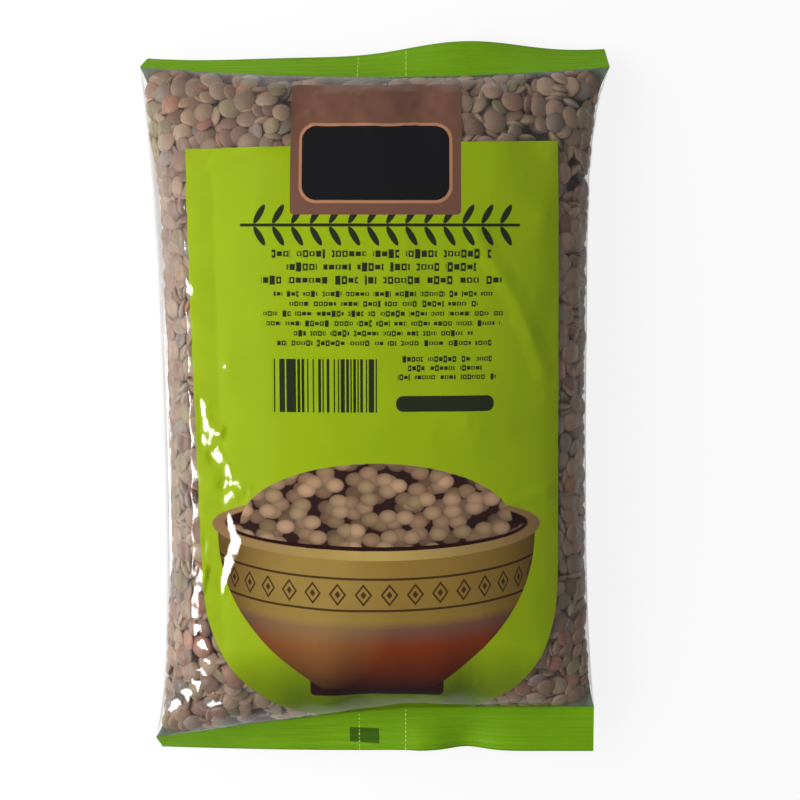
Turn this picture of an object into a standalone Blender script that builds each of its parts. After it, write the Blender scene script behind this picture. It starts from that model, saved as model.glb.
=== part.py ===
"""A sealed pillow bag of dry green lentils, lying on its back with the printed side up.

The bag is one tube of film. A crimped seal closes each end and stands off as a flat fin, and the
lentils swell the tube between them. Metres, +Z up, +Y towards the head of the bag.
"""

import math

import bmesh
import bpy
from mathutils import Vector, noise

# The tube of film, pressed flat
FLAT_WIDTH = 0.1330
SEAL_HEIGHT = 0.0136
SEAL_THICKNESS = 0.0010

# The filled bag, as it lies
WAIST_WIDTH = 0.1211
BODY_LENGTH = 0.1835
BODY_DEPTH = 0.0370
SIDE_RISE = 0.0160
SEAL_RISE = 0.0155
HEAD_BOW = 0.0027
FOOT_SINK = 0.0093
BASE_PRESS = 0.0020

# The crimps pressed along each seal, and the lumps that the lentils make
CRIMPS = 5
CRIMP_DEPTH = 0.00030
LUMP_SIZE = 0.0085
LUMP_DEPTH = 0.0010

# The gathers that run into the body from each seal
GATHER_DEPTH = 0.0022
GATHER_REACH = 0.013
GATHERS = 4.2

# The mesh: columns across each face, and rows along the body
COLUMNS = 30
BODY_ROWS = 44

# The printed label on the front, as far as the faces can follow it
LABEL_WIDTH = 0.106
LABEL_HEAD = 0.070
LABEL_FOOT = -0.086
LABEL_ROUND = 0.036

CLEAR_FILM = ("clear_film_over_lentils", (0.29, 0.20, 0.12), 0.40)
LABEL_PRINT = ("lime_label_print", (0.42, 0.55, 0.05), 0.32)
SEAL_PRINT = ("green_seal_print", (0.16, 0.34, 0.01), 0.30)


def hump(t, centre, width):
    """A smooth bump of height 1 over t."""
    return math.exp(-(((t - centre) / width) ** 2))


def side_width(v, side):
    """Half the bag's width at v, from -1 at the foot seal to 1 at the head seal.

    The tube is widest at its flat seals and narrows as it fills: slowly down the left side below
    the head, and quickly down the right. The folded foot is a little narrower than the head.
    """
    from_head = (1 - v) / 2 * BODY_LENGTH
    from_foot = (1 + v) / 2 * BODY_LENGTH
    flare = (FLAT_WIDTH - WAIST_WIDTH) / 2
    head_reach, foot_reach = (0.044, 0.018) if side < 0 else (0.014, 0.032)
    foot_flare = 0.78 * flare if side < 0 else 0.68 * flare
    width = WAIST_WIDTH / 2 + flare * math.exp(-from_head / head_reach)
    return width + foot_flare * math.exp(-from_foot / foot_reach)


def seal_root(v, s):
    """How far along the bag the point at v and s lies, before the film bulges.

    The head seal bows, with its ends further out. On the left the foot seal sinks away from the
    body, where the lentils have slumped into the corner.
    """
    head = BODY_LENGTH / 2 + HEAD_BOW * s * s
    sink = FOOT_SINK * max(0.0, (0.15 - s) / 1.15) ** 1.2
    foot = -BODY_LENGTH / 2 - sink
    return foot + (head - foot) * (v + 1) / 2


def head_droop(s):
    """The angle by which the head seal hangs, least right of its middle."""
    return math.radians(66 - 2.5 * s - 25 * hump(s, 0.38, 0.34) - 5 * hump(s, -0.30, 0.40))


def foot_droop(s):
    """The angle by which the foot seal hangs: its left end curls over, with one wave beside it."""
    curl = 60 * max(0.0, (0.20 - s) / 1.20) ** 0.95
    return math.radians(curl + 14 * hump(s, 0.42, 0.12))


def fullness(v):
    """How much of its full depth the bag has at v."""
    return (1 - abs(v) ** 4.2) ** 0.55


def roundness(v):
    """The power of the side's curve: a sharp edge at the seals and a round one in the middle."""
    return 0.50 + 0.24 * abs(v) ** 6


def lump(x, y, front):
    """The unevenness that the lentils give the film."""
    face = 0.0 if front else 5.0
    return LUMP_DEPTH * noise.noise(Vector((x / LUMP_SIZE, y / LUMP_SIZE, face)))


def gather(v, s):
    """The depth of the folds beside a seal, deepest a little way off it."""
    from_seal = (1 - abs(v)) / 2 * BODY_LENGTH / GATHER_REACH
    ripple = math.sin(GATHERS * math.pi * s + 2 * v) + 0.5 * math.sin(1.9 * GATHERS * math.pi * s)
    return GATHER_DEPTH * ripple * from_seal * math.exp(1 - 2 * from_seal)


def body_point(v, s, front):
    """A point of the bulging film, with s from -1 on the left edge to 1 on the right one."""
    x = s * side_width(v, s)
    y = seal_root(v, s)
    full = fullness(v)
    edge = SEAL_RISE + (SIDE_RISE - SEAL_RISE) * full
    slack = SEAL_THICKNESS / 2
    if front:
        arch = (1 - abs(s) ** 2.3) ** roundness(v)
        swell = (BODY_DEPTH - SIDE_RISE) * full + lump(x, y, front) * full + gather(v, s)
        return (x, y, edge + slack + swell * arch)
    arch = (1 - abs(s) ** 3.6) ** roundness(v)
    swell = (SIDE_RISE + BASE_PRESS) * full + lump(x, y, front) * full + gather(v, s)
    return (x, y, max(0.0, edge - slack - swell * arch))


def seal_point(end, t, s, front):
    """A point of the fin at an end, 1 for the head, with t from 0 at its root to 1 at its rim."""
    droop = head_droop(s) if end > 0 else foot_droop(s)
    crimp = CRIMP_DEPTH * math.sin(2 * math.pi * CRIMPS * t) * math.sqrt(1 - s * s)
    off = crimp + (SEAL_THICKNESS / 2 if front else -SEAL_THICKNESS / 2)
    reach = t * SEAL_HEIGHT
    along = reach * math.cos(droop) + off * math.sin(droop)
    x = s * side_width(end, s)
    y = seal_root(end, s) + end * along
    return (x, y, SEAL_RISE - reach * math.sin(droop) + off * math.cos(droop))


def across():
    """Places across the bag, from -1 to 1, closer together towards its edges."""
    return [math.sin(math.pi / 2 * (2 * i / COLUMNS - 1)) for i in range(COLUMNS + 1)]


def ring(place):
    """One turn round the tube: over the front to the right, and back under it to the left."""
    return [place(s, True) for s in across()] + [place(-s, False) for s in across()]


def seal_rings(end):
    """The fin's rings from its root to its rim, two for each crimp."""
    steps = 2 * CRIMPS
    return [ring(lambda s, front: seal_point(end, i / steps, s, front)) for i in range(steps + 1)]


def body_rings():
    """The body's rings between the seals, closer together towards them."""
    places = [math.sin(math.pi / 2 * (2 * i / BODY_ROWS - 1)) for i in range(1, BODY_ROWS)]
    return [ring(lambda s, front: body_point(v, s, front)) for v in places]


def close_rim(mesh, loop):
    """Join the front and the back of a seal along its rim."""
    last = len(loop) - 1
    for i in range(COLUMNS):
        mesh.faces.new((loop[i], loop[i + 1], loop[last - i - 1], loop[last - i]))


def film_mesh():
    """The closed film, as a loft through its rings."""
    mesh = bmesh.new()
    rings = seal_rings(-1)[::-1] + body_rings() + seal_rings(1)
    loops = [[mesh.verts.new(point) for point in points] for points in rings]
    count = len(loops[0])
    for lower, upper in zip(loops, loops[1:]):
        for i in range(count):
            j = (i + 1) % count
            mesh.faces.new((lower[i], lower[j], upper[j], upper[i]))
    close_rim(mesh, loops[0])
    close_rim(mesh, loops[-1])
    bmesh.ops.recalc_face_normals(mesh, faces=mesh.faces)
    return mesh


def stand_on_origin(mesh):
    """Move the bag so that the origin is under the middle of its box."""
    corners = [[pick(v.co[axis] for v in mesh.verts) for axis in range(3)] for pick in (min, max)]
    low, high = corners
    middle = Vector(((low[0] + high[0]) / 2, (low[1] + high[1]) / 2, low[2]))
    bmesh.ops.translate(mesh, verts=mesh.verts, vec=-middle)


def on_label(centre, normal):
    """Whether a face lies on the printed label, whose foot is rounded."""
    if normal.z < 0.2 or abs(centre.x) > LABEL_WIDTH / 2 or centre.y > LABEL_HEAD:
        return False
    bend = math.sqrt(1 - (2 * centre.x / LABEL_WIDTH) ** 2)
    return centre.y > LABEL_FOOT + LABEL_ROUND * (1 - bend)


def paint(mesh):
    """Give each face its material: 0 for bare film, 1 for the label and 2 for the seals."""
    mesh.faces.ensure_lookup_table()
    turn = 2 * (COLUMNS + 1)
    foot_faces = 2 * CRIMPS * turn
    body_faces = BODY_ROWS * turn
    for face in mesh.faces:
        in_body = foot_faces <= face.index < foot_faces + body_faces
        labelled = in_body and on_label(face.calc_center_median(), face.normal)
        face.material_index = 1 if labelled else 0 if in_body else 2
        face.smooth = in_body


def material(name, colour, roughness):
    made = bpy.data.materials.new(name)
    made.use_nodes = True
    shader = made.node_tree.nodes["Principled BSDF"]
    shader.inputs["Base Color"].default_value = (*colour, 1)
    shader.inputs["Roughness"].default_value = roughness
    shader.inputs["Metallic"].default_value = 0.0
    made.diffuse_color = (*colour, 1)
    return made


def lentil_bag(collection):
    """The whole bag, film and filling, as one solid."""
    mesh = film_mesh()
    stand_on_origin(mesh)
    paint(mesh)
    data = bpy.data.meshes.new("lentil_bag")
    mesh.to_mesh(data)
    mesh.free()
    for finish in (CLEAR_FILM, LABEL_PRINT, SEAL_PRINT):
        data.materials.append(material(*finish))
    bag = bpy.data.objects.new("lentil_bag", data)
    collection.objects.link(bag)
    return bag


def clear_scene():
    for thing in list(bpy.data.objects):
        bpy.data.objects.remove(thing, do_unlink=True)


clear_scene()
parts = bpy.data.collections.new("bag_of_lentils")
bpy.context.scene.collection.children.link(parts)
lentil_bag(parts)
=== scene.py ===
"""A sealed clear bag of dry green lentils, lying on its back with the printed side up.

The lentils are packed inside the solid from the frame, and the film is draped over them. Its lime
label, copper panel and picture are printed by its material. Metres, +Z up, +Y towards the head.
"""

from functools import partial
from itertools import product

import bpy
import numpy as np
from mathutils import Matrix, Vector, kdtree
from mathutils.bvhtree import BVHTree


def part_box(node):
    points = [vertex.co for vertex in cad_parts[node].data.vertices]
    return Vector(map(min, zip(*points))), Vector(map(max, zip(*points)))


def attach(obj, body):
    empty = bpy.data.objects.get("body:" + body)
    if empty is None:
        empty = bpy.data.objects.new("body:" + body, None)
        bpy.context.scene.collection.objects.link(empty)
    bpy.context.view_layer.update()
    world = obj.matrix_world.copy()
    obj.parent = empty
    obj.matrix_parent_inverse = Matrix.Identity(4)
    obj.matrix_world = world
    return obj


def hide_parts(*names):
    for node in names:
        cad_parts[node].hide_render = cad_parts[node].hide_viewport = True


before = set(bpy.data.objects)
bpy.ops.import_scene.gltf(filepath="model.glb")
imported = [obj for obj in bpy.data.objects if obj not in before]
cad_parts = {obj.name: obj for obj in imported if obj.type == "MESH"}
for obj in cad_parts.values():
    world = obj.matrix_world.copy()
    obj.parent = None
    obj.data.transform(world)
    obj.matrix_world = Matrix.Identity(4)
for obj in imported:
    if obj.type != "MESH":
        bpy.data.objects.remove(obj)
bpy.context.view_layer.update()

# The lentils
# 500 g of dry green lentils, seeds like thick lenses of 5 to 7 mm. They slid in by themselves, so
# they lie at every angle, flatter where the film presses on them. Only the outer layers are made.

LENTILS = 5300
LENTIL_SIZE = 0.0062
LENTIL_SPREAD = 0.00042
LENTIL_LEAST, LENTIL_MOST = 0.0050, 0.0071
LENTIL_THICKNESS = 0.42
LAYER_DEPTH = 0.0072
FILM_GAP = 0.0002
FIELD_PITCH = 0.0018
SETTLE_STEPS = 150
DEEPEST_SHOWN = 0.0062
STRAY_LIMIT = 0.0006
LEFT_SLACK = 0.0017
RING_REACH, RING_BALL = 0.72, 0.27
DRIFT_OUT, DRIFT_TO_ENDS = 0.00003, 0.00006
FLOOR_GAP = 0.0003

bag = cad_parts["lentil_bag"]
bag_low, bag_high = (np.array(corner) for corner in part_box("lentil_bag"))
chance = np.random.default_rng(5)


def depth_field(solid):
    """How deep each point of a grid lies inside the bag, and the first of its points."""
    surface = BVHTree.FromPolygons([v.co for v in solid.data.vertices],
                                   [face.vertices for face in solid.data.polygons])
    first = bag_low - 2 * FIELD_PITCH
    field = np.zeros(np.ceil((bag_high - first) / FIELD_PITCH).astype(int) + 3)
    for cell in np.ndindex(*field.shape):
        point = Vector(first + np.array(cell) * FIELD_PITCH)
        nearest, normal, face, distance = surface.find_nearest(point)
        field[cell] = distance if (point - nearest).dot(normal) < 0 else -distance
    return field, first


def read_field(field, points):
    """The field's value at each point, between the grid's points."""
    place = (points - field_start) / FIELD_PITCH
    cell = np.clip(np.floor(place).astype(int), 0, np.array(depth.shape) - 2)
    part = place - cell
    total = 0
    for corner in product((0, 1), repeat=3):
        weight = np.prod(np.where(corner, part, 1 - part), axis=1)
        value = field[tuple((cell + corner).T)]
        total = total + (weight[:, None] * value if value.ndim > 1 else weight * value)
    return total


def near_pairs(points, reach):
    """The pairs of points that lie within reach of each other, each pair once."""
    cell = np.floor((points - points.min(0)) / reach).astype(np.int64) + 1
    size = cell.max(0) + 2
    key = (cell[:, 0] * size[1] + cell[:, 1]) * size[2] + cell[:, 2]
    order = np.argsort(key, kind="stable")
    ranked, index = key[order], np.arange(len(points))
    firsts, seconds = [], []
    for step in product((-1, 0, 1), repeat=3):
        offset = (step[0] * size[1] + step[1]) * size[2] + step[2]
        if offset < 0:
            continue
        begin = np.searchsorted(ranked, ranked + offset) if offset else index + 1
        end = np.searchsorted(ranked, ranked + offset, side="right")
        count = np.maximum(end - begin, 0)
        a = np.repeat(index, count)
        b = np.arange(count.sum()) - np.repeat(np.cumsum(count) - count, count) + np.repeat(begin, count)
        a, b = order[a], order[b]
        close = ((points[a] - points[b]) ** 2).sum(1) < reach * reach
        firsts.append(a[close])
        seconds.append(b[close])
    return np.concatenate(firsts), np.concatenate(seconds)


def unit(vectors):
    return vectors / (np.linalg.norm(vectors, axis=-1, keepdims=True) + 1e-12)


def random_turns(count):
    """Turns of every kind, as matrices whose third column is the lentil's short axis."""
    w, x, y, z = unit(chance.normal(size=(count, 4))).T
    rows = [1 - 2 * (y * y + z * z), 2 * (x * y - z * w), 2 * (x * z + y * w),
            2 * (x * y + z * w), 1 - 2 * (x * x + z * z), 2 * (y * z - x * w),
            2 * (x * z - y * w), 2 * (y * z + x * w), 1 - 2 * (x * x + y * y)]
    return np.stack(rows, 1).reshape(-1, 3, 3)


def settle(centre, turn, size):
    """Let the lentils grow to size and push each other and the film aside until they fit.

    Each lentil is a ball in its middle and a ring of smaller ones, held in a rigid form. For most of
    the time the lentils also drift towards the film and into the bag's ends, as shaking packs them.
    """
    angle = np.arange(6) * np.pi / 3
    ring = RING_REACH * np.stack([np.cos(angle), np.sin(angle), 0 * angle], 1)
    form = np.vstack([np.zeros(3), ring])
    ball = np.array([LENTIL_THICKNESS] + [RING_BALL] * 6)
    owner = np.repeat(np.arange(LENTILS), len(form))
    for step in range(SETTLE_STEPS):
        progress = step / SETTLE_STEPS
        grown = size * min(1.0, 0.55 + 0.80 * progress)
        points = (centre[:, None] + (form * grown[:, None, None]) @ turn.transpose(0, 2, 1)).reshape(-1, 3)
        radius = (ball * grown[:, None]).ravel()
        if step % 8 == 0:
            a, b = near_pairs(points, LENTIL_THICKNESS * LENTIL_MOST + 0.0005)
            apart = owner[a] != owner[b]
            a, b = a[apart], b[apart]
        gap = points[a] - points[b]
        distance = np.linalg.norm(gap, axis=1) + 1e-9
        lap = radius[a] + radius[b] - distance
        hit = lap > 0
        push = gap[hit] * (0.5 * lap[hit] / distance[hit])[:, None]
        count = 1 + 0.5 * sum(np.bincount(side[hit], minlength=len(points)) for side in (a, b))
        for axis in range(3):
            given = np.bincount(a[hit], push[:, axis], len(points))
            taken = np.bincount(b[hit], push[:, axis], len(points))
            points[:, axis] += 1.4 * (given - taken) / count
        inward = unit(read_field(slope, points))
        over = radius + FILM_GAP + left_slack(points) - read_field(depth, points)
        points += inward * np.maximum(over, 0)[:, None]
        points = points.reshape(LENTILS, len(form), 3)
        centre = points.mean(1)
        left, stretch, right = np.linalg.svd((points - centre[:, None]).transpose(0, 2, 1) @ form)
        left[:, :, 2] *= np.linalg.det(left @ right)[:, None]
        turn = left @ right
        if progress < 0.75:
            outward = -unit(read_field(slope, centre))
            centre += DRIFT_OUT * outward * (read_field(depth, centre) > 0.0017)[:, None]
            ends = centre / bag_high * np.array((1, 1, 0))
            centre += DRIFT_TO_ENDS * np.sign(ends) * abs(ends) ** 7
    return centre, turn


def left_slack(points):
    """How much further in the lentils lie along the left side, where the film stands off them."""
    reach = np.clip(-points[:, 0] / 0.0605, 0, 1.06) ** 14
    ends = np.clip((points[:, 1] + 0.064) / 0.02, 0, 1) * np.clip((0.076 - points[:, 1]) / 0.02, 0, 1)
    return LEFT_SLACK * reach * ends


def furthest_out(centre, turn, radius, thick):
    """How far each lentil's rim and faces reach out of the bag, in metres."""
    angle = np.arange(8) * np.pi / 4
    rim = np.stack([np.cos(angle), np.sin(angle), 0 * angle], 1)
    spots = np.vstack([rim, (0, 0, 1), (0, 0, -1)]) * np.column_stack([radius, radius, thick])[:, None]
    spots = centre[:, None] + spots @ turn.transpose(0, 2, 1)
    return -read_field(depth, spots.reshape(-1, 3)).reshape(len(centre), -1).min(1)


def under_print(x, y, z):
    """Whether a lentil lies well under the label or the panel above it, where nothing shows it."""
    below = np.maximum(0, (-0.042 - y) / 0.0485)
    label = ((abs(x) / 0.047) ** 2.5 + below ** 2.5 < 0.84) & (y < 0.070)
    panel = (abs(x) < 0.0195) & (y > 0.060) & (y < 0.0880)
    return (label | panel) & (z > bag_high[2] / 2)


def lentil_form():
    """A lentil of radius 1: its points, each with how far it is from the rim, and its faces."""
    steps = 14
    points, faces, rim = [(0, 0, 1)], [], [1.0]
    radii = (0.48, 0.79, 0.95, 1.0, 0.95, 0.79, 0.48)
    for i, radius in enumerate(radii):
        height = (1 - radius ** 2) ** 0.66 * (1 if i < 3 else -1)
        for j in range(steps):
            angle = 2 * np.pi * (j + 0.5 * (i % 2)) / steps
            points.append((radius * np.cos(angle), radius * np.sin(angle), height))
            rim.append(1 - radius)
    points.append((0, 0, -1))
    rim.append(1.0)
    for j in range(steps):
        after = (j + 1) % steps
        faces.append((0, 1 + j, 1 + after))
        for i in range(len(radii) - 1):
            here, there = 1 + i * steps, 1 + (i + 1) * steps
            shift = i % 2
            faces.append((here + j, there + (j + shift) % steps, here + after))
            faces.append((here + (j + 1 - shift) % steps, there + j, there + after))
        foot = 1 + (len(radii) - 1) * steps
        faces.append((len(points) - 1, foot + after, foot + j))
    return np.array(points), np.array(faces), np.array(rim)


def new_piece(name, points, faces, finish):
    """A smooth piece of one material, which rides with the bag."""
    data = bpy.data.meshes.new(name)
    data.from_pydata(points.tolist(), [], faces)
    data.shade_smooth()
    data.materials.append(finish)
    piece = bpy.data.objects.new(name, data)
    bpy.context.scene.collection.objects.link(piece)
    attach(piece, "root")
    return piece


def new_material(name):
    """A material with only its output, its node tree, and a function that adds a node with values."""
    made = bpy.data.materials.new(name)
    made.use_nodes = True
    made.node_tree.nodes.clear()
    add = node_adder(made.node_tree)
    return made, add, add("ShaderNodeOutputMaterial")


def node_adder(tree):
    """A function that adds a node to the tree, with its inputs by name or number set or linked."""
    def add(kind, inputs=None, **settings):
        node = tree.nodes.new(kind)
        for key, value in settings.items():
            setattr(node, key, value)
        for key, value in (inputs or {}).items():
            if isinstance(value, bpy.types.NodeSocket):
                tree.links.new(value, node.inputs[key])
            else:
                node.inputs[key].default_value = value
        return node
    return add


def sums(add):
    """A function that adds a sum of numbers and gives its output, and one for each common sum."""
    def sum_of(operation, *values, clamp=False):
        return add("ShaderNodeMath", dict(enumerate(values)), operation=operation,
                   use_clamp=clamp).outputs[0]
    common = ("ADD", "SUBTRACT", "MULTIPLY", "MAXIMUM", "ABSOLUTE", "LESS_THAN")
    return sum_of, *(partial(sum_of, operation) for operation in common)


def overprint(add):
    """A function that lays one colour over another, as far as a mask goes."""
    def over(lower, upper, mask):
        return add("ShaderNodeMix", {0: mask, 6: lower, 7: upper}, data_type="RGBA").outputs[2]
    return over


def colour(red, green, blue):
    """A colour as seen on a screen, from 0 to 255, as the light that the shaders count in."""
    shown = np.array((red, green, blue)) / 255
    light = np.where(shown <= 0.04045, shown / 12.92, ((shown + 0.055) / 1.055) ** 2.4)
    return (*light.tolist(), 1.0)


def new_group(name, inputs, outputs):
    """A node group with named sockets, and what adds its nodes and gives its two ends."""
    group = bpy.data.node_groups.new(name, "ShaderNodeTree")
    for socket, kind, value in inputs:
        made = group.interface.new_socket(socket, in_out="INPUT", socket_type="NodeSocket" + kind)
        if value is not None:
            made.default_value = value
    for socket, kind in outputs:
        group.interface.new_socket(socket, in_out="OUTPUT", socket_type="NodeSocket" + kind)
    add = node_adder(group)
    return group, add, add("NodeGroupInput").outputs, add("NodeGroupOutput").inputs


def lentil_skin():
    """The skin's colour: one seed paler or darker than the next, mottled, and worn on its rim."""
    group, add, given, result = new_group(
        "lentil_skin",
        [("Skin", "Color", None), ("Shade", "Color", None), ("Mottle", "Color", None)],
        [("Color", "Color"), ("Height", "Float")])
    place = add("ShaderNodeTexCoord").outputs["Object"]
    tone = add("ShaderNodeAttribute", attribute_name="tone").outputs["Fac"]
    rim = add("ShaderNodeAttribute", attribute_name="rim").outputs["Fac"]
    clouds = add("ShaderNodeTexNoise", {"Vector": place, "Scale": 420.0, "Detail": 3.0})
    specks = add("ShaderNodeTexNoise", {"Vector": place, "Scale": 1900.0, "Detail": 2.0})
    patch = add("ShaderNodeMapRange", {0: clouds.outputs["Fac"], 1: 0.50, 2: 0.72, 3: 0.0, 4: 0.62})
    over = overprint(add)
    mottled = over(over(given["Shade"], given["Skin"], tone), given["Mottle"], patch.outputs[0])
    dust = add("ShaderNodeMapRange", {0: specks.outputs["Fac"], 1: 0.3, 2: 0.75, 3: 0.84, 4: 1.10})
    edge = add("ShaderNodeMapRange", {0: rim, 1: 0.0, 2: 0.22, 3: 1.16, 4: 1.0})
    worn = add("ShaderNodeMath", {0: dust.outputs[0], 1: edge.outputs[0]}, operation="MULTIPLY")
    value = add("ShaderNodeHueSaturation", {"Color": mottled, "Value": worn.outputs[0]})
    group.links.new(value.outputs["Color"], result["Color"])
    group.links.new(specks.outputs["Fac"], result["Height"])
    return group


lentil_skins = lentil_skin()


def lentil_finish(name, skin, shade, mottle):
    """The dry, faintly polished skin of one kind of lentil."""
    made, add, output = new_material(name)
    looks = add("ShaderNodeGroup", node_tree=lentil_skins)
    for socket, value in zip(looks.inputs, (skin, shade, mottle)):
        socket.default_value = value
    bump = add("ShaderNodeBump", {
        "Height": looks.outputs["Height"], "Strength": 0.35, "Distance": 0.00012})
    shader = add("ShaderNodeBsdfPrincipled", {
        "Base Color": looks.outputs["Color"], "Normal": bump.outputs["Normal"],
        "Roughness": 0.46, "Specular IOR Level": 0.28})
    made.node_tree.links.new(shader.outputs[0], output.inputs["Surface"])
    return made


LENTIL_KINDS = {
    "tan_lentils": (0.26, colour(168, 138, 114), colour(126, 102, 81), colour(148, 124, 97)),
    "buff_lentils": (0.22, colour(171, 143, 118), colour(131, 107, 86), colour(151, 130, 103)),
    "brown_lentils": (0.23, colour(157, 123, 101), colour(112, 84, 68), colour(134, 103, 82)),
    "olive_lentils": (0.12, colour(158, 141, 107), colour(116, 103, 75), colour(136, 121, 86)),
    "orange_lentils": (0.07, colour(170, 123, 96), colour(136, 93, 74), colour(158, 117, 92)),
    "grey_lentils": (0.10, colour(153, 135, 120), colour(110, 96, 84), colour(129, 115, 101)),
}

depth, field_start = depth_field(bag)
slope = np.stack(np.gradient(depth, FIELD_PITCH), -1)
inside = np.argwhere((depth > 0.0010) & (depth < LAYER_DEPTH))
started = field_start + (inside[chance.choice(len(inside), LENTILS)]
                         + chance.uniform(-0.5, 0.5, (LENTILS, 3))) * FIELD_PITCH
lentil_radius = chance.normal(LENTIL_SIZE, LENTIL_SPREAD, LENTILS).clip(LENTIL_LEAST, LENTIL_MOST) / 2
lentil_centre, lentil_turn = settle(started, random_turns(LENTILS), lentil_radius)
lentil_thick = lentil_radius * chance.normal(LENTIL_THICKNESS, 0.03, LENTILS).clip(0.34, 0.48)
seed_points, seed_faces, seed_rim = lentil_form()
shares = [kind[0] for kind in LENTIL_KINDS.values()]
lentil_kind = chance.choice(len(shares), LENTILS, p=np.array(shares) / sum(shares))
lentil_tone = chance.beta(2.0, 1.6, LENTILS)

stray = furthest_out(lentil_centre, lentil_turn, lentil_radius, lentil_thick) > STRAY_LIMIT
lentil_centre, lentil_turn, lentil_radius, lentil_thick, lentil_kind, lentil_tone = (
    values[~stray] for values in (lentil_centre, lentil_turn, lentil_radius, lentil_thick,
                                  lentil_kind, lentil_tone))
unseen = under_print(*lentil_centre.T) | (read_field(depth, lentil_centre) > DEEPEST_SHOWN)
for number, (name, (share, skin, shade, mottle)) in enumerate(LENTIL_KINDS.items()):
    chosen = np.flatnonzero((lentil_kind == number) & ~unseen)
    width = lentil_radius[chosen, None] * chance.uniform(0.95, 1.05, (len(chosen), 2))
    scale = np.column_stack([width, lentil_thick[chosen]])
    points = (seed_points * scale[:, None]) @ lentil_turn[chosen].transpose(0, 2, 1)
    points += lentil_centre[chosen, None]
    points[..., 2] += np.maximum(0, FLOOR_GAP - points[..., 2].min(1))[:, None]
    faces = seed_faces + (np.arange(len(chosen)) * len(seed_points))[:, None, None]
    piece = new_piece(name, points.reshape(-1, 3), faces.reshape(-1, 3).tolist(),
                      lentil_finish(name, skin, shade, mottle))
    for attribute, values in (("tone", np.repeat(lentil_tone[chosen], len(seed_points))),
                              ("rim", np.tile(seed_rim, len(chosen)))):
        layer = piece.data.attributes.new(attribute, "FLOAT", "POINT")
        layer.data.foreach_set("value", values)

# The film
# One tube of clear film, sealed flat across both ends and down its back. The lentils swell it, and
# it hangs taut from lentil to lentil. The folds at its left shoulder and corner catch the light.

FLAT_WIDTH = 0.1330
SEAL_HEIGHT = 0.0136
FILM_THICKNESS = 0.0004
WAIST_WIDTH = 0.1211
BODY_LENGTH = 0.1835
BODY_DEPTH = 0.0370
SIDE_RISE = 0.0160
SEAL_RISE = 0.0155
HEAD_BOW = 0.0027
FOOT_SINK = 0.0093
BASE_PRESS = 0.0020
CRIMPS = 5
CRIMP_DEPTH = 0.00022
GATHER_DEPTH = 0.0022
GATHER_REACH = 0.013
GATHERS = 4.2
BACK_SEAM = (-0.0050, 0.0088)
SEAM_STEP = 0.0004
FRONT_COLUMNS, BACK_COLUMNS = 252, 84
FILM_ROWS, SEAL_ROWS = 228, 20
DRAPE_ROUNDS = 60
LABEL_SIDE, LABEL_HEAD, LABEL_FOOT = 0.053, 0.077, -0.090

# Folds on the front: the points that each runs through, its half width and its height, all in mm
FOLDS = (
    (((-53.5, 86), (-52, 40), (-51.3, 6), (-51.0, -30), (-51.3, -70)), 8.0, 1.9),
    (((-20, -28), (-8, -20), (-2, -33)), 3.0, 0.5),
    (((28, 50), (40, 30), (47, 12)), 3.5, 0.5),
    (((20, -20), (34, -26), (48, -22)), 3.0, 0.4),
    (((-55, 62), (-44, 70), (-30, 74)), 2.0, 0.5),
)

# Flat facets where the front is creased, by how high they stand: the points that each runs through,
# with its half width there, all in mm. They drop towards the left at a like rate, and so meet the
# window. On the label they lie low, and on the clear film they stand off the lentils.
FACETS = {
    0.6: (
        ((-49.0, 3.5, 0.4), (-46.8, 2.7, 0.4)),
        ((-48.7, 2.1, 0.8), (-47.3, -1.8, 1.3)),
        ((-48.7, -4.3, 0.9), (-44.2, -4.9, 1.8)),
        ((-47.9, -8.3, 1.5), (-45.1, -10.8, 2.4)),
        ((-44.6, -11.6, 2.2), (-41.9, -15.0, 1.6)),
        ((-41.4, -15.6, 1.4), (-40.3, -17.6, 1.0)),
        ((-41.4, -20.0, 1.8), (-38.4, -20.3, 2.2), (-36.3, -21.2, 1.3)),
        ((-35.6, -20.8, 0.5), (-35.6, -24.2, 0.5)),
        ((-40.0, -22.4, 1.5), (-42.3, -24.4, 0.8)),
        ((-41.0, -29.6, 1.3), (-38.9, -35.4, 2.0)),
        ((-39.2, -36.4, 2.0), (-40.7, -40.6, 2.1)),
        ((-41.0, -42.0, 1.8), (-42.9, -48.0, 1.2), (-43.1, -51.5, 0.4)),
        ((-47.8, -35.4, 0.4), (-47.8, -40.0, 0.4)),
    ),
    1.3: (
        ((-48.8, -44.5, 1.1), (-50.1, -49.4, 1.4)),
        ((-50.4, -50.2, 1.4), (-51.3, -53.9, 1.4)),
        ((-51.5, -55.3, 0.6), (-49.6, -55.3, 0.6)),
        ((-51.3, -56.6, 1.4), (-51.0, -60.2, 1.6)),
        ((-50.8, -61.2, 1.6), (-49.8, -65.2, 1.9)),
        ((-49.4, -66.0, 1.8), (-48.2, -69.5, 1.5)),
        ((-47.8, -71.0, 1.5), (-49.3, -74.2, 1.8)),
        ((-49.8, -75.0, 1.9), (-51.3, -78.2, 2.0)),
        ((-51.8, -79.0, 2.1), (-53.8, -81.7, 2.2)),
        ((-54.6, -82.4, 2.2), (-57.0, -85.0, 2.0)),
        ((-57.8, -85.8, 1.8), (-60.2, -88.6, 1.2)),
        ((-49.6, -86.1, 0.8), (-46.8, -84.7, 1.6), (-43.7, -84.2, 0.8)),
    ),
}
FACET_EASE = 0.8
FACET_LEAN, FACET_LEAN_CHANGE = 0.535, 0.0022


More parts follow.
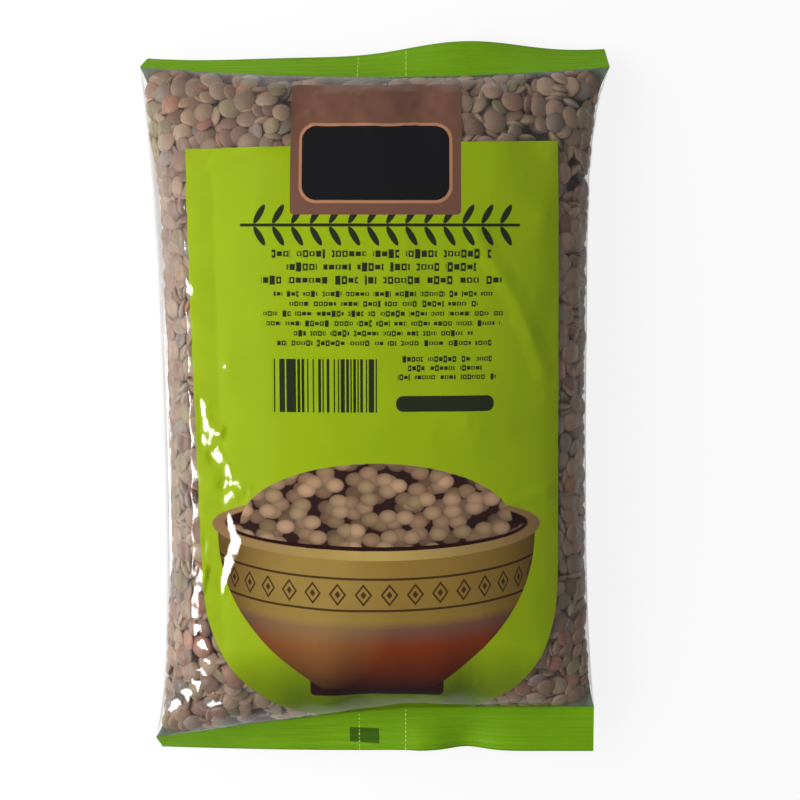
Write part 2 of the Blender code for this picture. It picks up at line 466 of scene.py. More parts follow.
def side_width(v, s):
    """Half the bag's width at v, from -1 at the foot seal to 1 at the head seal."""
    from_head = (1 - v) / 2 * BODY_LENGTH
    from_foot = (1 + v) / 2 * BODY_LENGTH
    flare = (FLAT_WIDTH - WAIST_WIDTH) / 2
    left = np.exp(-from_head / 0.044) + 0.78 * np.exp(-from_foot / 0.018)
    right = np.exp(-from_head / 0.014) + 0.68 * np.exp(-from_foot / 0.032)
    return WAIST_WIDTH / 2 + flare * np.where(s < 0, left, right)


def seal_root(v, s):
    """How far along the bag the point at v and s lies, with s from -1 at the left side to 1."""
    head = BODY_LENGTH / 2 + HEAD_BOW * s * s
    foot = -BODY_LENGTH / 2 - FOOT_SINK * np.maximum(0, (0.15 - s) / 1.15) ** 1.2
    return foot + (head - foot) * (v + 1) / 2


def fullness(v):
    """How much of its full depth the bag has at v."""
    return (1 - abs(v) ** 4.2) ** 0.55


def gather(v, s):
    """The folds beside a seal, deepest a little way off it."""
    from_seal = (1 - abs(v)) / 2 * BODY_LENGTH / GATHER_REACH
    ripple = np.sin(GATHERS * np.pi * s + 2 * v) + 0.5 * np.sin(1.9 * GATHERS * np.pi * s)
    return GATHER_DEPTH * ripple * from_seal * np.exp(1 - 2 * from_seal)


def body_points(v, s, front, slack):
    """The bulging film at v and s, its front or its back, before the lentils mark it."""
    full = fullness(v)
    power = 0.50 + 0.24 * abs(v) ** 6
    edge = SEAL_RISE + (SIDE_RISE - SEAL_RISE) * full
    if front:
        arch = (1 - abs(s) ** 2.3) ** power
        height = edge + slack + ((BODY_DEPTH - SIDE_RISE) * full + gather(v, s)) * arch
    else:
        arch = (1 - abs(s) ** 3.6) ** power
        height = np.maximum(0, edge - slack - ((SIDE_RISE + BASE_PRESS) * full + gather(v, s)) * arch)
    return np.stack(np.broadcast_arrays(s * side_width(v, s), seal_root(v, s), height), -1)


def hump(t, centre, width):
    return np.exp(-(((t - centre) / width) ** 2))


def seal_points(end, t, s, side):
    """The flat fin at an end, 1 for the head, with t from 0 at its root to 1 at its cut rim."""
    if end > 0:
        droop = 66 - 2.5 * s - 25 * hump(s, 0.38, 0.34) - 5 * hump(s, -0.30, 0.40)
        droop = np.radians(droop + 6 * hump(s, -1, 0.55))
    else:
        curl = 60 * np.maximum(0, (0.20 - s) / 1.20) ** 0.95
        droop = np.radians(curl + 14 * hump(s, 0.42, 0.12))
    off = CRIMP_DEPTH * np.sin(2 * np.pi * CRIMPS * t) * np.sqrt(1 - s * s) + side * FILM_THICKNESS / 2
    reach = t * SEAL_HEIGHT
    along = seal_root(end, s) + end * (reach * np.cos(droop) + off * np.sin(droop))
    height = SEAL_RISE - reach * np.sin(droop) + off * np.cos(droop)
    return np.stack(np.broadcast_arrays(s * side_width(end, s), along, height), -1)


def round_the_tube(place):
    """Rings over the front to the right and back under it to the left."""
    over = np.sin(np.pi / 2 * np.linspace(-1, 1, FRONT_COLUMNS + 1))[None, :]
    under = np.sin(np.pi / 2 * np.linspace(1, -1, BACK_COLUMNS + 1))[None, :]
    return np.concatenate([place(over, 1), place(under, -1)], 1)


def grid_faces(rows, columns):
    """The faces between rows of closed rings, with each one's row and column."""
    row, column = (part.ravel() for part in np.mgrid[0:rows - 1, 0:columns])
    start, after = row * columns, (column + 1) % columns
    faces = np.stack([start + column, start + after, start + columns + after, start + columns + column], 1)
    return faces, row, column


def ring_normals(rings):
    """The film's outward directions, from its neighbours round the ring and along the bag."""
    round_it = np.roll(rings, -1, 1) - np.roll(rings, 1, 1)
    along_it = np.gradient(rings, axis=0)
    return unit(np.cross(round_it, along_it))


def lentil_marks(rings, normals):
    """How far each lentil below would push the film out, or in where there is none."""
    points, directions = rings.reshape(-1, 3), normals.reshape(-1, 3)
    tree = kdtree.KDTree(len(points))
    for i, point in enumerate(points):
        tree.insert(point, i)
    tree.balance()
    marks = np.full(len(points), -0.0030)
    for centre, turn, radius, thick in zip(lentil_centre, lentil_turn, lentil_radius, lentil_thick):
        near = [index for place, index, gap in tree.find_range(centre, radius + 0.0008)]
        if not near:
            continue
        squeeze = turn / np.array((radius, radius, thick * 1.04))
        start = (points[near] - centre) @ squeeze
        way = directions[near] @ squeeze
        a, b, c = (way * way).sum(1), (way * start).sum(1), (start * start).sum(1) - 1
        root = b * b - a * c
        top = np.where(root > 0, (np.sqrt(np.maximum(root, 0)) - b) / a, -0.0030)
        marks[near] = np.maximum(marks[near], top)
    return np.clip(marks, -0.0030, 0.0007).reshape(rings.shape[:2])


def neighbour_mean(field):
    rows = np.pad(field, ((1, 1), (0, 0)), mode="edge")
    return (rows[:-2] + rows[2:] + np.roll(field, 1, 1) + np.roll(field, -1, 1)) / 4


def neighbour_most(field):
    rows = np.pad(field, ((1, 1), (0, 0)), mode="edge")
    shifted = (field, rows[:-2], rows[2:], np.roll(field, 1, 1), np.roll(field, -1, 1))
    return np.max(shifted, axis=0)


def nearest_on(line, x, y):
    """The point of a line of points nearest to each place: how far it is, and all its values."""
    away, found = np.full_like(x, 999.0), np.zeros((*x.shape, len(line[0])))
    for start, end in zip(np.array(line), np.array(line)[1:]):
        run = end - start
        part = np.clip(((x - start[0]) * run[0] + (y - start[1]) * run[1]) / (run[:2] @ run[:2]), 0, 1)
        point = start + part[..., None] * run
        gap = np.hypot(x - point[..., 0], y - point[..., 1])
        found = np.where((gap < away)[..., None], point, found)
        away = np.minimum(away, gap)
    return away, found


def fold_height(x, y):
    """The height of the folds at a place on the front: a ridge along each line of the list."""
    height = np.zeros_like(x)
    wander = 0.6 * np.sin(y * 0.5 + x * 0.3) + 0.4 * np.sin(x * 0.9 - y * 0.4)
    for line, half_width, rise in FOLDS:
        away, point = nearest_on(line, x, y)
        ridge = np.clip(1 - (away + 0.25 * wander) / half_width, 0, 1)
        height = np.maximum(height, rise * ridge * (0.9 + 0.1 * np.sin(y * 0.6 + x * 0.3)))
    return height / 1000


def smooth_height(x, y):
    """The height in mm of the bulging front at a place, before anything marks it."""
    across = np.clip(x / (WAIST_WIDTH * 500), -0.98, 0.98)
    foot, head = 1000 * seal_root(-1, across), 1000 * seal_root(1, across)
    v = np.clip(2 * (y - foot) / (head - foot) - 1, -0.999, 0.999)
    s = np.clip(x / 1000 / side_width(v, across), -0.999, 0.999)
    return 1000 * body_points(v, s, True, FILM_THICKNESS / 2)[..., 2]


def crease(rings, least):
    """Press the facets into the front, where that leaves each point above its least height."""
    x, y, z = np.moveaxis(rings * 1000, -1, 0)
    ragged = 0.35 * np.sin(x * 2.1 + y * 1.3) + 0.25 * np.sin(y * 3.1 - x * 1.2)
    for lift, line in ((lift, line) for lift, lines in FACETS.items() for line in lines):
        away, point = nearest_on(line, x, y)
        share = np.clip(1 - (away - point[..., 2] * (1 + 0.4 * ragged)) / FACET_EASE, 0, 1)
        middle = np.array(line).mean(0)
        height = smooth_height(middle[0], middle[1]) + 700 * fold_height(*middle[:2, None])[0] + lift
        lean = FACET_LEAN + FACET_LEAN_CHANGE * middle[0]
        z = z + share * (height + lean * (x - middle[0]) - z)
    return np.maximum(z / 1000, least)


steps_along = np.linspace(-1, 1, FILM_ROWS + 1)
film_v = (0.6 * steps_along + 0.4 * np.sin(np.pi / 2 * steps_along))[:, None]
seal_t = np.linspace(0, 1, SEAL_ROWS + 1)[1:, None]
body = round_the_tube(lambda s, side: body_points(film_v, s, side > 0, FILM_THICKNESS / 2))
head = round_the_tube(lambda s, side: seal_points(1, seal_t, s, side))
foot = round_the_tube(lambda s, side: seal_points(-1, seal_t[::-1], s, side))
film_rings = np.concatenate([foot, body, head])
low, high = film_rings.min((0, 1)), film_rings.max((0, 1))
to_frame = (bag_low + bag_high - low - high) / 2 * np.array((1, 1, 0))
film_rings += to_frame
body_rows = slice(SEAL_ROWS, SEAL_ROWS + FILM_ROWS + 1)

# The print lies in the flat film, so the fins count at their full height there
print_place = film_rings * np.array((1000, 1000, 0))
for end, rows, t in ((-1, slice(0, SEAL_ROWS), seal_t[::-1]), (1, slice(-SEAL_ROWS, None), seal_t)):
    root = film_rings[body_rows][0 if end < 0 else -1]
    print_place[rows, :, 1] = 1000 * (root[None, :, 1] + end * t * SEAL_HEIGHT)

body = film_rings[body_rows]
normals = ring_normals(body)
full = fullness(film_v)
marks = lentil_marks(body, normals)
relief = marks.copy()
for _ in range(DRAPE_ROUNDS):
    relief = np.maximum(marks, neighbour_mean(relief) - 0.00001)
columns = np.arange(body.shape[1])[None, :] + np.zeros_like(full)
on_front = columns <= FRONT_COLUMNS
labelled = on_front & (abs(body[..., 0]) < LABEL_SIDE) & (body[..., 1] < LABEL_HEAD)
labelled &= body[..., 1] > LABEL_FOOT
smooth = relief
for _ in range(4):
    smooth = neighbour_most(smooth)
for _ in range(30):
    smooth = neighbour_mean(smooth)
stiff = labelled * 1.0
for _ in range(4):
    stiff = neighbour_mean(stiff)
side_reach = abs(body[..., 0]).max(1, keepdims=True) - abs(body[..., 0])
taut = np.clip(1.6 - side_reach / 0.0022, 0, 1)
relief = np.maximum(relief + (smooth - relief) * np.maximum(stiff, taut), marks)
relief = np.maximum(relief, -0.0030 * (1 - taut))
relief += 0.00010 + 0.00015 * stiff
seam = ~on_front & (body[..., 0] > BACK_SEAM[0]) & (body[..., 0] < BACK_SEAM[1])
relief += SEAM_STEP * seam
relief += np.where(on_front, fold_height(body[..., 0] * 1000, body[..., 1] * 1000), 0.0)
least = body + normals * ((marks + 0.00010) * np.minimum(1, full * 1.6))[..., None]
body += normals * (relief * np.minimum(1, full * 1.6))[..., None]
hidden = under_print(*np.moveaxis(body, -1, 0))
creased = crease(body, np.where(hidden, 0, least[..., 2]))
body[..., 2] = np.where(on_front, creased, np.maximum(body[..., 2], 0.00015))
film_rings[body_rows] = body

ring_size = film_rings.shape[1]
film_faces, face_row, face_column = grid_faces(film_rings.shape[0], ring_size)
rim_faces = []
for ring, turned in ((0, False), (film_rings.shape[0] - 1, True)):
    start = ring * ring_size
    for i in range(BACK_COLUMNS):
        over = [start + 3 * i + step for step in range(4)]
        under = [start + ring_size - 2 - i, start + ring_size - 1 - i]
        rim_faces.append((over + under)[::-1] if not turned else over + under)


def printed_panel():
    """The mask of a rectangle with round corners, printed at a place on the flat film, in mm."""
    group, add, given, result = new_group(
        "printed_panel",
        [("Place", "Vector", None), ("Centre", "Vector", None), ("Half Size", "Vector", None),
         ("Corner", "Float", 0.3)],
        [("Mask", "Float")])

    def vectors(operation, *values, output=0):
        node = add("ShaderNodeVectorMath", dict(enumerate(values)), operation=operation)
        return node.outputs[output]

    off = vectors("ABSOLUTE", vectors("SUBTRACT", given["Place"], given["Centre"]))
    eased = vectors("ADD", vectors("SUBTRACT", off, given["Half Size"]), given["Corner"])
    flat = vectors("MULTIPLY", vectors("MAXIMUM", eased, (0, 0, 0)), (1, 1, 0))
    sum_of = sums(add)[0]
    edge = sum_of("SUBTRACT", given["Corner"], vectors("LENGTH", flat, output="Value"))
    group.links.new(sum_of("MULTIPLY_ADD", edge, 7.0, 0.5, clamp=True), result["Mask"])
    return group


def printed_lines():
    """The mask of a block of small print: centred rows of dark strokes with gaps, and no letters."""
    group, add, given, result = new_group(
        "printed_lines",
        [("Place", "Vector", None), ("Middle", "Float", 0.0), ("Top", "Float", 0.0),
         ("Half Width", "Float", 20.0), ("Rows", "Float", 3.0), ("Pitch", "Float", 3.0),
         ("Stroke", "Float", 0.5), ("Word", "Float", 4.0)],
        [("Mask", "Float")])
    sum_of, plus, minus, times, maximum, absolute, less_than = sums(add)
    place = add("ShaderNodeSeparateXYZ", {0: given["Place"]}).outputs
    line = sum_of("DIVIDE", minus(given["Top"], place[1]), given["Pitch"])
    row = sum_of("FLOOR", line)
    across = absolute(minus(minus(line, row), 0.5))
    stem = times(plus(times(row, 7.3), place[0]), sum_of("DIVIDE", 2.0, given["Pitch"]))
    height = add("ShaderNodeTexWhiteNoise", {"W": sum_of("FLOOR", stem)},
                 noise_dimensions="1D").outputs["Value"]
    tallness = sum_of("MULTIPLY_ADD", sum_of("POWER", height, 2.0), 0.34, 0.30)
    tall = less_than(across, times(given["Stroke"], tallness))
    notch = times(less_than(sum_of("FRACT", stem), 0.24), 0.75)
    used = times(sum_of("GREATER_THAN", row, -0.5), less_than(row, given["Rows"]))
    ragged = add("ShaderNodeTexWhiteNoise", {"W": row}, noise_dimensions="1D").outputs["Value"]
    width = times(given["Half Width"], sum_of("MULTIPLY_ADD", ragged, 0.28, 0.72))
    off = absolute(minus(place[0], given["Middle"]))
    within = less_than(off, width)
    run = plus(sum_of("DIVIDE", place[0], given["Word"]), times(row, 31.7))
    words = add("ShaderNodeTexVoronoi", {"W": run, "Scale": 1.0}, voronoi_dimensions="1D",
                feature="DISTANCE_TO_EDGE").outputs["Distance"]
    word = sum_of("GREATER_THAN", words, 0.10)
    ink = times(times(tall, used), times(within, word))
    eye = less_than(absolute(minus(sum_of("FRACT", stem), 0.62)), 0.15)
    eye = times(eye, less_than(across, times(given["Stroke"], 0.20)))
    eye = times(eye, sum_of("GREATER_THAN", sum_of("FRACT", times(height, 7.0)), 0.5))
    gaps = minus(minus(1.0, notch), eye, clamp=True)
    group.links.new(times(ink, gaps), result["Mask"])
    return group


panel_print, line_print = printed_panel(), printed_lines()
LIME, LIME_SHADE = colour(146, 169, 10), colour(124, 149, 4)
COPPER, COPPER_PALE = colour(108, 74, 60), colour(170, 118, 88)
INK = colour(18, 18, 22)
GOLD, GOLD_PALE = colour(136, 108, 48), colour(178, 152, 84)
BOWL_RED, BOWL_DARK = colour(116, 46, 16), colour(34, 8, 8)


def printed_film():
    """Clear film with the lime label, the copper panel above it and a picture of a bowl."""
    made, add, output = new_material("printed_film")
    sum_of, plus, minus, times, maximum, absolute, less_than = sums(add)
    over = overprint(add)

    def panel(centre, half_size, corner=0.3):
        made_panel = add("ShaderNodeGroup", node_tree=panel_print)
        made.node_tree.links.new(place, made_panel.inputs["Place"])
        made_panel.inputs["Centre"].default_value = (*centre, 0)
        made_panel.inputs["Half Size"].default_value = (*half_size, 0)
        made_panel.inputs["Corner"].default_value = corner
        return made_panel.outputs[0]

    def lines(*sizes):
        """Small print, by its middle, top, half width, rows, pitch, stroke and word length."""
        block = add("ShaderNodeGroup", node_tree=line_print)
        made.node_tree.links.new(place, block.inputs["Place"])
        for socket, size in zip(block.inputs[1:], sizes):
            socket.default_value = size
        return block.outputs[0]

    def oval(centre, radii, soft=0.15):
        """The mask of an upright oval, with a softer edge for a painted shadow."""
        across = sum_of("DIVIDE", minus(x, centre[0]), radii[0])
        up = sum_of("DIVIDE", minus(y, centre[1]), radii[1])
        away = sum_of("SQRT", plus(times(across, across), times(up, up)))
        return sum_of("MULTIPLY_ADD", minus(1.0, away), min(radii) / soft, 0.5, clamp=True)

    place = add("ShaderNodeAttribute", attribute_name="print").outputs["Vector"]
    x, y = add("ShaderNodeSeparateXYZ", {0: place}).outputs[:2]

    # The label, whose sides lean a little and whose foot is round
    lean = minus(y, 12.0)
    middle = sum_of("MULTIPLY_ADD", lean, -0.019, 0.7)
    half = sum_of("MULTIPLY_ADD", lean, 0.010, 50.7)
    side = sum_of("DIVIDE", absolute(minus(x, middle)), half)
    below = maximum(sum_of("DIVIDE", minus(-46.0, y), 45.0), 0.0)
    bend = plus(sum_of("POWER", side, 2.5), sum_of("POWER", below, 2.5))
    round_foot = sum_of("MULTIPLY_ADD", minus(1.0, bend), 120.0, 0.5, clamp=True)
    top = minus(sum_of("MULTIPLY_ADD", x, 0.025, 74.6), y)
    label = times(round_foot, sum_of("MULTIPLY_ADD", top, 7.0, 0.5, clamp=True))

    clouds = add("ShaderNodeTexNoise", {"Vector": place, "Scale": 0.045, "Detail": 2.0}).outputs["Fac"]
    cloudy = sum_of("MULTIPLY_ADD", clouds, 0.5, 0.0)
    print_colour = over(LIME, LIME_SHADE, cloudy)
    low_shade = oval((2, -84), (46, 14), soft=14)
    print_colour = over(print_colour, colour(40, 62, 4), times(low_shade, 0.75))

    # Small print, as rows of strokes, a heading sprig of leaves, and a block of bars
    ink = plus(lines(2, 46.6, 34, 3, 3.6, 0.60, 9.0), lines(2.5, 35.2, 34, 6, 2.7, 0.56, 6.0))
    ink = plus(ink, lines(20, 17.2, 14, 3, 2.5, 0.62, 7.0))
    ink = maximum(ink, panel((19.5, 3.6), (13.5, 2.2), 2.0))
    stripe = add("ShaderNodeTexWhiteNoise", {"W": sum_of("FLOOR", times(x, 2.6))},
                 noise_dimensions="1D").outputs["Value"]
    bars = times(less_than(stripe, 0.52), panel((-13.3, 8.6), (14.8, 7.4), 0.1))
    ink = maximum(ink, bars)
    leaf = minus(sum_of("FRACT", sum_of("DIVIDE", plus(x, 60.0), 5.2)), 0.5)
    rise = minus(absolute(minus(y, 52.6)), 3.0)
    lean_leaf = sum_of("MULTIPLY_ADD", rise, -0.10, leaf)
    wide = times(times(lean_leaf, lean_leaf), 27.0)
    leaf_shape = plus(wide, times(times(rise, rise), 0.15))
    leaves = sum_of("MULTIPLY_ADD", minus(1.0, leaf_shape), 6.0, 0.5, clamp=True)
    sprig = maximum(times(leaves, panel((1.6, 52.6), (36.2, 6.2), 0.1)),
                    panel((1.6, 52.6), (38.5, 0.42), 0.4))
    ink = maximum(ink, sprig)
    print_colour = over(print_colour, INK, sum_of("MINIMUM", ink, 0.96))

    # The picture: a footed bowl with a heap of lentils
    bowl_x = minus(x, 0.5)
    ratio = sum_of("DIVIDE", absolute(bowl_x), 46.0)
    curve = sum_of("SQRT", minus(1.0, sum_of("MINIMUM", times(ratio, ratio), 0.99)))
    level = sum_of("MULTIPLY_ADD", curve, 9.0, y)
    drop = sum_of("DIVIDE", minus(-31.0, y), 46.0)
    taper = sum_of("MULTIPLY_ADD", sum_of("POWER", maximum(drop, 0.0), 2.4), -26.0, 44.5)
    flank = minus(taper, absolute(bowl_x))
    upright = times(less_than(y, -31.0),
                    sum_of("MULTIPLY_ADD", plus(level, 70.5), 7.0, 0.5, clamp=True))
    wall = times(sum_of("MULTIPLY_ADD", flank, 7.0, 0.5, clamp=True), upright)
    down = sum_of("DIVIDE", minus(-31.0, level), 40.0, clamp=True)
    body_colour = add("ShaderNodeValToRGB", {0: down})
    ramp = body_colour.color_ramp
    ramp.elements[0].position, ramp.elements[0].color = 0.0, GOLD
    ramp.elements[1].position, ramp.elements[1].color = 1.0, BOWL_DARK
    for position, tint in ((0.46, GOLD), (0.52, COPPER), (0.66, BOWL_RED)):
        ramp.elements.new(position).color = tint
    sheen = oval((-16, -50), (16, 22), soft=14)
    side_dark = times(sum_of("POWER", ratio, 3.0), 0.75, clamp=True)
    wall_colour = over(body_colour.outputs[0], BOWL_DARK, side_dark)
    wall_colour = over(wall_colour, GOLD_PALE, times(sheen, 0.28))
    turn_x = times(sum_of("ARCSINE", sum_of("DIVIDE", bowl_x, 47.0)), 6.4)
    cell = absolute(minus(sum_of("FRACT", turn_x), 0.5))
    band = absolute(plus(level, 41.5))
    lozenge = plus(times(cell, 2.4), sum_of("DIVIDE", band, 4.0))
    lozenges = times(less_than(lozenge, 0.82), sum_of("GREATER_THAN", lozenge, 0.60))
    kernel = less_than(lozenge, 0.28)
    stripes = less_than(absolute(minus(band, 4.6)), 0.34)
    motif = maximum(maximum(lozenges, kernel), stripes)
    wall_colour = over(wall_colour, BOWL_DARK, times(motif, 0.85))
    base = panel((0.5, -78.5), (19, 3.0), 1.4)
    print_colour = over(print_colour, BOWL_DARK, base)
    print_colour = over(print_colour, wall_colour, wall)
    rim = oval((0.5, -31), (46, 9.5))
    rim_shade = over(GOLD_PALE, COPPER, times(ratio, 0.8))
    print_colour = over(print_colour, rim_shade, rim)
    print_colour = over(print_colour, BOWL_DARK, oval((0.5, -30.5), (42.5, 7.2)))
    heap_low = times(oval((0.5, -30.5), (41, 6.0)), less_than(y, -30.5))
    heap_high = times(oval((0.5, -30.5), (38, 17.5)), sum_of("GREATER_THAN", y, -30.6))
    heap = maximum(heap_low, heap_high)
    pile = over(colour(36, 18, 18), colour(52, 30, 26), cloudy)
    for shift, pale, deep in (((3.1, 1.7, 0), colour(128, 98, 78), colour(92, 74, 54)),
                              ((9.4, 6.2, 0), colour(158, 124, 98), colour(118, 98, 70)),
                              ((0.0, 0.0, 0), colour(182, 146, 116), colour(140, 118, 86))):
        moved = add("ShaderNodeVectorMath", {0: place, 1: shift}, operation="ADD").outputs[0]
        oblong = add("ShaderNodeVectorMath", {0: moved, 1: (0.155, 0.20, 0)},
                     operation="MULTIPLY").outputs[0]
        seeds = add("ShaderNodeTexVoronoi", {"Vector": oblong, "Scale": 1.0, "Randomness": 0.9},
                    voronoi_dimensions="2D").outputs
        tone = add("ShaderNodeSeparateXYZ", {0: seeds["Color"]}).outputs[0]
        rounded = times(sum_of("POWER", seeds["Distance"], 2.0), 3.4, clamp=True)
        seed = over(over(pale, deep, tone), colour(66, 42, 34), rounded)
        pile = over(pile, seed, sum_of("MULTIPLY_ADD", seeds["Distance"], -16.0, 6.9, clamp=True))
    print_colour = over(print_colour, pile, heap)

    # The copper panel with a plain dark field, printed across the label's head
    plate = panel((0.4, 73.5), (23.4, 18.1), 1.2)
    field = panel((0.4, 69.5), (20.2, 10.2), 4.0)
    line_round = panel((0.4, 69.5), (21.0, 11.0), 4.6)
    plate_colour = over(COPPER, COPPER_PALE, line_round)
    plate_colour = over(plate_colour, INK, field)
    print_colour = over(print_colour, plate_colour, plate)
    printed = maximum(label, plate)

    grain = add("ShaderNodeTexNoise", {"Vector": place, "Scale": 0.35, "Detail": 3.0}).outputs["Fac"]
    bump = add("ShaderNodeBump", {"Height": grain, "Strength": 0.12, "Distance": 0.0004}).outputs[0]
    paper = add("ShaderNodeBsdfPrincipled", {
        "Base Color": print_colour, "Normal": bump, "Roughness": 0.11,
        "Specular IOR Level": 0.32}).outputs[0]
    clear = clear_shader(add, bump)
    both = add("ShaderNodeMixShader", {0: printed, 1: clear, 2: paper})
    made.node_tree.links.new(both.outputs[0], output.inputs["Surface"])
    return made


def clear_shader(add, normal):
    """Clear film: it lets nearly all light through, with a little haze, and shines where it leans."""
    facing = add("ShaderNodeFresnel", {"IOR": 1.45, "Normal": normal}).outputs[0]
    facing = add("ShaderNodeMath", {0: facing, 1: 0.4}, operation="MINIMUM").outputs[0]
    through = add("ShaderNodeBsdfTransparent", {"Color": (0.97, 0.97, 0.97, 1)}).outputs[0]
    haze = add("ShaderNodeBsdfDiffuse", {"Color": (0.86, 0.86, 0.90, 1)}).outputs[0]
    hazy = add("ShaderNodeMixShader", {0: 0.022, 1: through, 2: haze}).outputs[0]
    shine = add("ShaderNodeBsdfGlossy", {
        "Color": (0.9, 0.9, 0.9, 1), "Roughness": 0.12, "Normal": normal})
    return add("ShaderNodeMixShader", {0: facing, 1: hazy, 2: shine.outputs[0]}).outputs[0]


def clear_film():
    """The unprinted back of the bag."""
    made, add, output = new_material("clear_film")
    place = add("ShaderNodeTexCoord").outputs["Object"]
    grain = add("ShaderNodeTexNoise", {"Vector": place, "Scale": 350.0, "Detail": 3.0}).outputs["Fac"]
    bump = add("ShaderNodeBump", {"Height": grain, "Strength": 0.25, "Distance": 0.0004}).outputs[0]
    made.node_tree.links.new(clear_shader(add, bump), output.inputs["Surface"])
    return made


def seal_film():
    """The printed green seals, with the press's fine lines and the marks of the back seam."""
    made, add, output = new_material("green_seal_film")
    sum_of, plus, minus, times, maximum, absolute, less_than = sums(add)
    over = overprint(add)
    place = add("ShaderNodeAttribute", attribute_name="print").outputs["Vector"]
    x, y = add("ShaderNodeSeparateXYZ", {0: place}).outputs[:2]
    stretched = add("ShaderNodeVectorMath", {0: place, 1: (0.02, 1.2, 0)},
                    operation="MULTIPLY").outputs[0]
    streaks = add("ShaderNodeTexNoise", {"Vector": stretched, "Scale": 1.0, "Detail": 3.0}).outputs["Fac"]
    clouds = add("ShaderNodeTexNoise", {"Vector": place, "Scale": 0.06, "Detail": 2.0}).outputs["Fac"]
    tone = sum_of("MULTIPLY_ADD", plus(streaks, clouds), 0.9, -0.4, clamp=True)
    green = over(colour(98, 146, 0), colour(118, 168, 4), tone)
    mark = add("ShaderNodeGroup", node_tree=panel_print)
    made.node_tree.links.new(place, mark.inputs["Place"])
    mark.inputs["Centre"].default_value = (-3.5, -98.6, 0)
    mark.inputs["Half Size"].default_value = (4.4, 2.6, 0)
    green = over(green, colour(40, 78, 4), times(mark.outputs[0], 0.85))
    dots = less_than(sum_of("FRACT", times(y, 0.75)), 0.5)
    seam = maximum(*(less_than(absolute(minus(x, 1000 * edge)), 0.16) for edge in BACK_SEAM))
    green = over(green, colour(196, 222, 110), times(times(seam, dots), 0.8))
    lines = sum_of("SINE", times(y, 4.6))
    bump = add("ShaderNodeBump", {"Height": plus(lines, times(streaks, 2.0)),
                                  "Strength": 0.35, "Distance": 0.00012}).outputs[0]
    ink = add("ShaderNodeBsdfDiffuse", {"Color": green, "Normal": bump}).outputs[0]
    shine = add("ShaderNodeBsdfGlossy", {"Roughness": 0.3, "Normal": bump}).outputs[0]
    shader = add("ShaderNodeMixShader", {0: 0.03, 1: ink, 2: shine})
    made.node_tree.links.new(shader.outputs[0], output.inputs["Surface"])
    return made


film = new_piece("film", film_rings.reshape(-1, 3), film_faces.tolist() + rim_faces, printed_film())
film.data.materials.append(clear_film())
film.data.materials.append(seal_film())
in_body = (face_row >= SEAL_ROWS) & (face_row < SEAL_ROWS + FILM_ROWS)
finish = np.where(in_body, np.where(face_column < FRONT_COLUMNS, 0, 1), 2)
finish = np.append(finish, np.full(len(rim_faces), 2)).astype("i4")
film.data.polygons.foreach_set("material_index", finish)
layer = film.data.attributes.new("print", "FLOAT_VECTOR", "POINT")
layer.data.foreach_set("vector", print_place.ravel())
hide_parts("lentil_bag")

# The mass of lentils deeper in the bag
# More lentils fill the middle, where hardly any light comes down between the outer ones. They are
# one rough body coloured with painted shade, darker than the lentils, which runs out thin where the
# film closes to the seals, and there turns to a painted grey-green shade of the film's inside.

CORE_INSET = 0.0046
CORE_LEFT, CORE_RIGHT = 0.070, 0.025
CORE_ROWS, CORE_COLUMNS = 60, 40


def core_rings():
    """The bag's own form, smaller all round, down to a thin sheet at the seals."""
    v = np.sin(np.pi / 2 * np.linspace(-1, 1, CORE_ROWS + 1))[:, None]
    s = np.sin(np.pi / 2 * np.linspace(-1, 1, CORE_COLUMNS + 1))[None, :]
    front, back = body_points(v, s, True, 0.0), body_points(v, s, False, 0.0)
    middle, thick = (front + back) / 2, (front - back)[..., 2:] / 2
    half = np.maximum(thick - CORE_INSET, 0.00003) * np.array((0, 0, 1))
    inset = np.where(s < 0, CORE_LEFT, CORE_RIGHT)
    narrow = 1 - (inset * (1 - abs(v) ** 8))[..., None] * np.array((1, 0, 0))
    rings = np.concatenate([(middle + half) * narrow, ((middle - half) * narrow)[:, ::-1]], 1)
    closing = np.concatenate([thick, thick[:, ::-1]], 1)[..., 0]
    return rings + to_frame, np.clip(1 - closing / 0.0018, 0, 1)


def core_painted_shade():
    """Painted shade: brown lumps where lentils lie, darkest in the gaps, grey-green where the bag closes.
    """
    made, add, output = new_material("deep_lentils_painted_shade")
    place = add("ShaderNodeTexCoord").outputs["Object"]
    lumps = add("ShaderNodeTexVoronoi", {"Vector": place, "Scale": 175.0}).outputs["Distance"]
    gap_shade = add("ShaderNodeMapRange", {0: lumps, 1: 0.1, 2: 0.75, 3: 0.0, 4: 1.0}).outputs[0]
    over = overprint(add)
    # Painted shade: the brown darkens away from each lump's middle, as shade between lentils.
    brown = over(colour(112, 84, 66), colour(58, 38, 32), gap_shade)
    closing = add("ShaderNodeAttribute", attribute_name="closing").outputs["Fac"]
    # Painted shade: where the bag closes it turns grey-green, for the film's shaded inside.
    shade = over(brown, colour(110, 124, 106), closing)
    bump = add("ShaderNodeBump", {"Height": lumps, "Distance": 0.001}, invert=True).outputs[0]
    shader = add("ShaderNodeBsdfPrincipled", {"Base Color": shade, "Normal": bump, "Roughness": 0.85})
    made.node_tree.links.new(shader.outputs[0], output.inputs["Surface"])
    return made


rings, closing = core_rings()
core_faces = grid_faces(*rings.shape[:2])[0].tolist()
for start, step in ((0, -1), ((rings.shape[0] - 1) * rings.shape[1], 1)):
    for i in range(CORE_COLUMNS):
        far = start + rings.shape[1] - 1 - i
        across = [start + i, start + i + 1, far - 1, far]
        core_faces.append(across[::step])
core = new_piece("deep_lentils_painted_shade", rings.reshape(-1, 3), core_faces, core_painted_shade())
layer = core.data.attributes.new("closing", "FLOAT", "POINT")
layer.data.foreach_set("value", closing.ravel())

# The floor
# A plain pale sheet that the bag lies on, far larger than the view. It glows a little to the eye, as
# a lit table does, so the shadow on it stays soft.

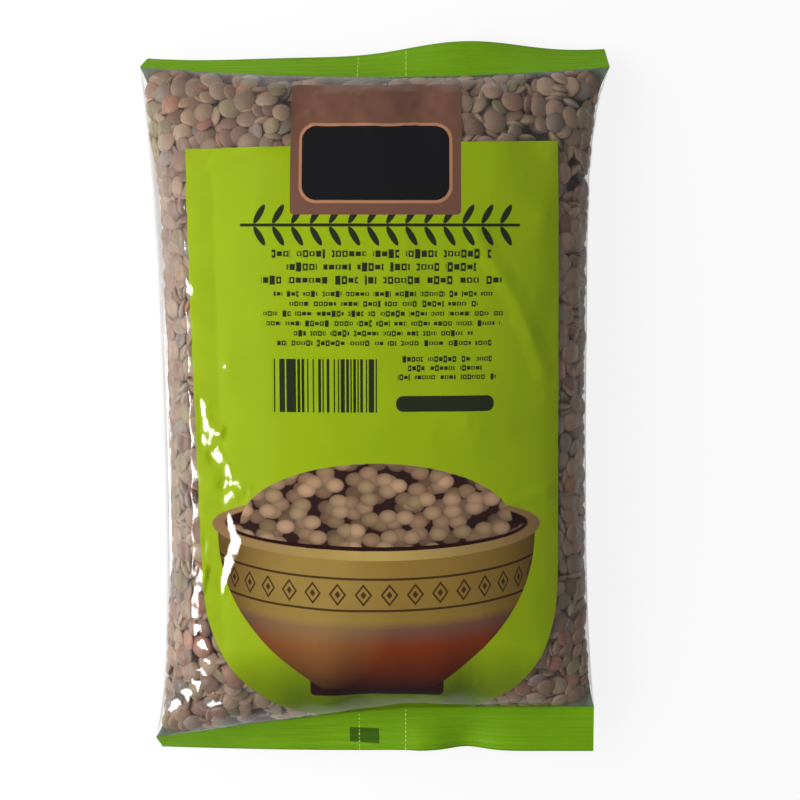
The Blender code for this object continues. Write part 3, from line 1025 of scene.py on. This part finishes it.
FLOOR_SIZE = 4.0
bpy.ops.mesh.primitive_plane_add(size=FLOOR_SIZE, location=(0, 0, -0.0002))
floor = bpy.context.object
floor.name = "floor"
sheet, add, output = new_material("pale_sheet")
matt = add("ShaderNodeBsdfPrincipled", {
    "Base Color": (0.94, 0.94, 0.94, 1), "Roughness": 0.9, "Specular IOR Level": 0.1}).outputs[0]
glow = add("ShaderNodeEmission", {"Color": (1, 1, 1, 1), "Strength": 1.0}).outputs[0]
seen = add("ShaderNodeMath", {0: add("ShaderNodeLightPath").outputs["Is Camera Ray"], 1: 0.86},
           operation="MULTIPLY").outputs[0]
shader = add("ShaderNodeMixShader", {0: seen, 1: matt, 2: glow})
sheet.node_tree.links.new(shader.outputs[0], output.inputs["Surface"])
floor.data.materials.append(sheet)

# The light
# A wide soft key from the left, near enough to fall off across the bag, pale light all round, and a
# small bright window on the left that only the shiny film shows.

KEY_POWER = 3.85
KEY_LENGTH, KEY_HEIGHT = 0.85, 0.42
ROOM_STRENGTH = 0.26
WINDOW_POWER = 5.0


def new_light(name, kind, place, aim, **settings):
    lamp = bpy.data.lights.new(name, kind)
    for key, value in settings.items():
        setattr(lamp, key, value)
    light = bpy.data.objects.new(name, lamp)
    light.location = place
    light.rotation_euler = (Vector(aim) - Vector(place)).to_track_quat("-Z", "Y").to_euler()
    bpy.context.scene.collection.objects.link(light)
    return light


middle_of_bag = (0, 0, 0.02)
key = new_light("key", "AREA", (-0.33, 0.03, 0.33), middle_of_bag, energy=KEY_POWER,
                shape="RECTANGLE", size=KEY_LENGTH, size_y=KEY_HEIGHT)
key.visible_glossy = False
key.visible_camera = False
window = new_light("window", "AREA", (-0.70, -0.19, 0.50), (-0.03, -0.03, 0.03), energy=WINDOW_POWER,
                   shape="RECTANGLE", size=0.34, size_y=0.10)
window.visible_diffuse = False
window.visible_camera = False

room = bpy.data.worlds.new("room")
bpy.context.scene.world = room
room.use_nodes = True
backdrop = room.node_tree.nodes["Background"]
backdrop.inputs["Color"].default_value = (1.0, 1.0, 1.0, 1)
backdrop.inputs["Strength"].default_value = ROOM_STRENGTH

# The camera
# It looks down on the lying bag, a little from the head, from 45 cm away.

CAMERA_AIM = Vector((0.0071, 0.0022, 0.0150))
CAMERA_DISTANCE = 0.45
CAMERA_TILT = np.radians(6.3)
FOCAL_PIXELS = 1550
IMAGE_PIXELS = 800
lens = bpy.data.cameras.new("camera")
lens.sensor_width = 36.0
lens.lens = FOCAL_PIXELS / IMAGE_PIXELS * lens.sensor_width
camera = bpy.data.objects.new("camera", lens)
away = Vector((0, np.sin(CAMERA_TILT), np.cos(CAMERA_TILT)))
camera.location = CAMERA_AIM + CAMERA_DISTANCE * away
camera.rotation_euler = (-CAMERA_TILT, 0, 0)
bpy.context.scene.collection.objects.link(camera)
bpy.context.scene.camera = camera
bpy.context.scene.view_settings.view_transform = "Standard"
